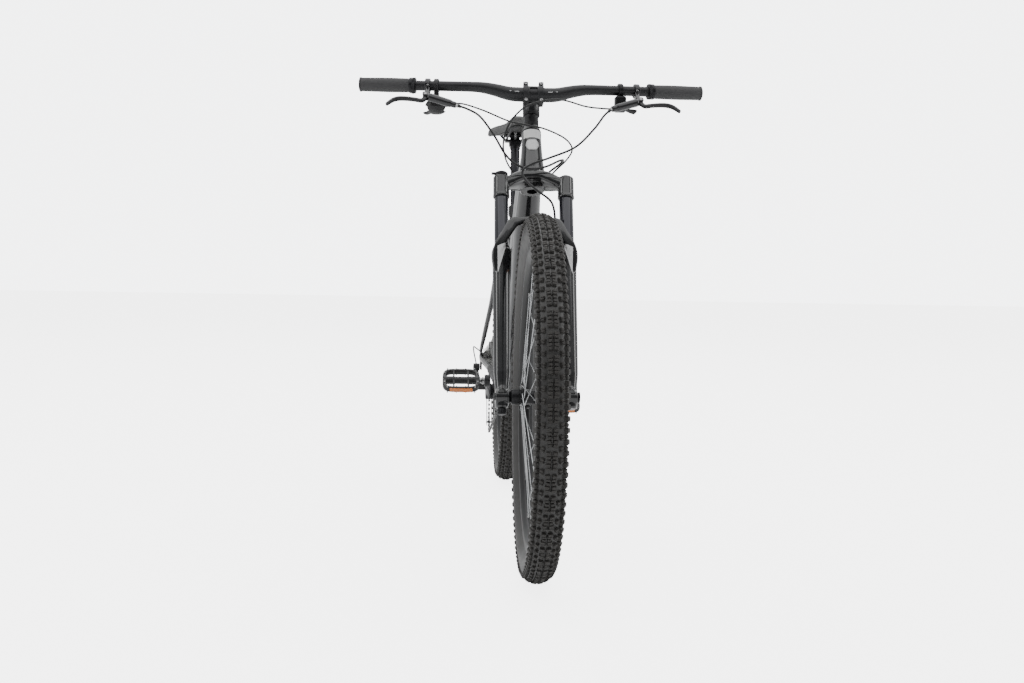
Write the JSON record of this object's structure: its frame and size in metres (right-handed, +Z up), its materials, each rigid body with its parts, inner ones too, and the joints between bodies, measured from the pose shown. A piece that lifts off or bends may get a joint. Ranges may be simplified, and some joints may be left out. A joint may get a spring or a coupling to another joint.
{
  "type": "mountain bike",
  "caption": "Hardtail trail bicycle with a telescopic fork, flat bar, disc brakes, knobbly tyres and a dropper seat post.",
  "frame": {"origin": "on the ground, midway between the two wheel axles", "axes": "+Y runs from the front wheel to the rear wheel, +X is the bike's left side, +Z is up; the chain is on the -X side"},
  "size_m": [0.7742, 1.895, 1.0538],
  "materials": {
    "frame_paint": "gloss black",
    "fork_paint": "gloss black",
    "anodised": "black anodised",
    "stanchion": "polished black",
    "satin_alloy": "satin black",
    "steel": "brushed",
    "spokes": "bright",
    "tyre": "matt",
    "rim": "satin black",
    "grip": "matt",
    "plastic": "moulded",
    "hose": "semi-gloss",
    "saddle_cover": "matt"
  },
  "bodies": {
    "frame": {"frame": "frame_paint", "headset_lower_cup": "anodised", "headset_upper_cover": "anodised", "bottom_bracket": "anodised", "seat_collar": "anodised", "rear_axle": "anodised", "dropper_outer_tube": "anodised", "rear_brake_caliper": "anodised", "derailleur_body": "plastic", "chain": "steel", "rear_shift_housing": "hose"},
    "steering": {"fork_crown": "fork_paint", "stanchion_right": "stanchion", "stanchion_left": "stanchion", "steerer_spacers": "satin_alloy", "stem": "satin_alloy", "stem_faceplate": "satin_alloy", "stem_top_cap": "satin_alloy", "handlebar": "satin_alloy", "grip_right": "grip", "grip_left": "grip", "brake_master_right": "anodised", "brake_master_left": "anodised", "shifter_body": "plastic", "dropper_remote_body": "anodised", "rear_brake_hose": "hose", "shift_housing": "hose", "dropper_housing": "hose", "front_brake_hose": "hose"},
    "lockout": {"lockout_knob": "anodised"},
    "right_lever": {"brake_lever_right": "anodised"},
    "left_lever": {"brake_lever_left": "anodised"},
    "push_paddle": {"shifter_push_paddle": "plastic"},
    "release_paddle": {"shifter_release_paddle": "plastic"},
    "remote_lever": {"dropper_remote_lever": "anodised"},
    "lowers": {"fork_lowers": "fork_paint", "front_brake_caliper": "anodised", "front_axle": "anodised"},
    "rebound": {"rebound_knob": "anodised"},
    "front_wheel": {"front_tyre": "tyre", "front_rim": "rim", "front_spokes_and_hub": "spokes", "front_rotor": "steel"},
    "rear_wheel": {"rear_tyre": "tyre", "rear_rim": "rim", "rear_spokes_and_hub": "spokes", "rear_rotor": "steel"},
    "freehub": {"cassette": "steel"},
    "cranks": {"crank_arm_right": "satin_alloy", "crank_arm_left": "satin_alloy", "chainring": "anodised"},
    "right_pedal": {"pedal_right": "plastic"},
    "left_pedal": {"pedal_left": "plastic"},
    "cage": {"derailleur_cage": "anodised"},
    "guide": {"guide_pulley": "plastic"},
    "tension": {"tension_pulley": "plastic"},
    "seat": {"dropper_inner_tube": "anodised", "saddle_clamp": "anodised", "saddle_rails": "anodised", "saddle": "saddle_cover"}
  },
  "joints": [
    {"name": "steering_turn", "type": "hinge", "parent": "frame", "child": "steering", "pos_m": [0, -0.5342, 0.35602], "axis": [0, 0.3746, 0.9272], "range_deg": [-65, 65], "deforming": ["rear_brake_hose", "shift_housing", "dropper_housing"]},
    {"name": "lockout_turn", "type": "hinge", "parent": "steering", "child": "lockout", "pos_m": [-0.07, -0.38399, 0.83459], "axis": [0, 0.3746, 0.9272], "range_deg": [0, 90]},
    {"name": "right_lever_pull", "type": "hinge", "parent": "steering", "child": "right_lever", "pos_m": [-0.2375, -0.34691, 1.00613], "axis": [0, 0.6428, -0.766], "range_deg": [0, 18], "stiffness_Nm_per_rad": 0.6, "springref_deg": -34.38},
    {"name": "left_lever_pull", "type": "hinge", "parent": "steering", "child": "left_lever", "pos_m": [0.2375, -0.34691, 1.00613], "axis": [0, -0.6428, 0.766], "range_deg": [0, 18], "stiffness_Nm_per_rad": 0.6, "springref_deg": -34.38},
    {"name": "push_paddle_swing", "type": "hinge", "parent": "steering", "child": "push_paddle", "pos_m": [-0.2137, -0.31503, 0.98625], "axis": [0, 0, 1], "range_deg": [0, 22], "stiffness_Nm_per_rad": 0.3, "springref_deg": -17.19},
    {"name": "release_paddle_swing", "type": "hinge", "parent": "steering", "child": "release_paddle", "pos_m": [-0.2137, -0.31503, 0.98625], "axis": [0, 0, 1], "range_deg": [0, 14], "stiffness_Nm_per_rad": 0.3, "springref_deg": -17.19},
    {"name": "remote_lever_swing", "type": "hinge", "parent": "steering", "child": "remote_lever", "pos_m": [0.196, -0.31593, 0.99675], "axis": [0, 0, -1], "range_deg": [0, 20], "stiffness_Nm_per_rad": 0.3, "springref_deg": -17.19},
    {"name": "fork_travel", "type": "slide", "parent": "steering", "child": "lowers", "axis": [0, 0.3746, 0.9272], "range_m": [0, 0.1], "stiffness_N_per_m": 6000, "springref_m": -0.02, "deforming": ["front_brake_hose"]},
    {"name": "rebound_turn", "type": "hinge", "parent": "lowers", "child": "rebound", "pos_m": [-0.07, -0.57129, 0.371], "axis": [0, 0.3746, 0.9272], "range_deg": [-135, 135]},
    {"name": "front_wheel_spin", "type": "hinge", "parent": "lowers", "child": "front_wheel", "pos_m": [0, -0.575, 0.3725], "axis": [1, 0, 0], "continuous": true},
    {"name": "rear_wheel_spin", "type": "hinge", "parent": "frame", "child": "rear_wheel", "pos_m": [0, 0.575, 0.3725], "axis": [1, 0, 0], "continuous": true},
    {"name": "crank_spin", "type": "hinge", "parent": "frame", "child": "cranks", "pos_m": [0, 0.139, 0.31], "axis": [1, 0, 0], "continuous": true},
    {"name": "cassette_spin", "type": "hinge", "parent": "frame", "child": "freehub", "pos_m": [0, 0.575, 0.3725], "axis": [1, 0, 0], "continuous": true},
    {"name": "right_pedal_spin", "type": "hinge", "parent": "cranks", "child": "right_pedal", "pos_m": [-0.146, -0.02521, 0.354], "axis": [1, 0, 0], "continuous": true},
    {"name": "left_pedal_spin", "type": "hinge", "parent": "cranks", "child": "left_pedal", "pos_m": [0.146, 0.30321, 0.266], "axis": [1, 0, 0], "continuous": true},
    {"name": "cage_swing", "type": "hinge", "parent": "frame", "child": "cage", "pos_m": [0, 0.579, 0.2835], "axis": [-1, 0, 0], "range_deg": [0, 18], "stiffness_Nm_per_rad": 0.8, "springref_deg": -34.38, "deforming": ["chain"]},
    {"name": "guide_pulley_spin", "type": "hinge", "parent": "cage", "child": "guide", "pos_m": [0, 0.585, 0.2755], "axis": [1, 0, 0], "continuous": true},
    {"name": "tension_pulley_spin", "type": "hinge", "parent": "cage", "child": "tension", "pos_m": [0, 0.535, 0.1775], "axis": [1, 0, 0], "continuous": true},
    {"name": "dropper_drop", "type": "slide", "parent": "frame", "child": "seat", "axis": [0, -0.2756, -0.9613], "range_m": [0, 0.15]}
  ],
  "couplings": [
    {"joint": "cassette_spin", "follows": "crank_spin", "ratio": 1.5238},
    {"joint": "guide_pulley_spin", "follows": "crank_spin", "ratio": -2.6667},
    {"joint": "tension_pulley_spin", "follows": "crank_spin", "ratio": 2.2857}
  ]
}
